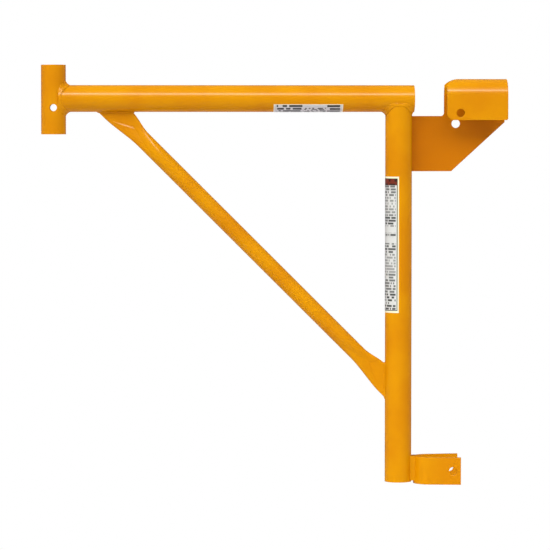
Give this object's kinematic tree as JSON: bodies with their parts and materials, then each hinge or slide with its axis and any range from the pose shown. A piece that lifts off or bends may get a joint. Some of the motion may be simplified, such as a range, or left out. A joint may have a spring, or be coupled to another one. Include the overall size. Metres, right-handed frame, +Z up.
{
  "type": "scaffold board bracket",
  "caption": "Welded steel side bracket: level board arm with a rail post socket, upright, diagonal brace, header hook and leg saddle.",
  "frame": {"origin": "middle of the hook, on the axis of the scaffold frame's header tube", "axes": "+X along the arm towards the scaffold frame, +Y from the front to the back, +Z up"},
  "size_m": [0.7192, 0.0614, 0.6492],
  "materials": {
    "enamel": "glossy yellow-orange enamel",
    "enamel_weld": "rippled weld under glossy enamel",
    "label": "printed vinyl"
  },
  "bodies": {
    "root": {"arm_tube": "enamel", "post_tube": "enamel", "brace_tube": "enamel", "guardrail_stub": "enamel", "hook_plate": "enamel", "leg_saddle": "enamel", "weld_stub_arm": "enamel_weld", "weld_arm_post": "enamel_weld", "weld_brace_arm": "enamel_weld", "weld_brace_post": "enamel_weld", "weld_plate_left": "enamel_weld", "weld_plate_right": "enamel_weld", "weld_saddle_post": "enamel_weld", "arm_label": "label", "post_label": "label"}
  },
  "joints": []
}
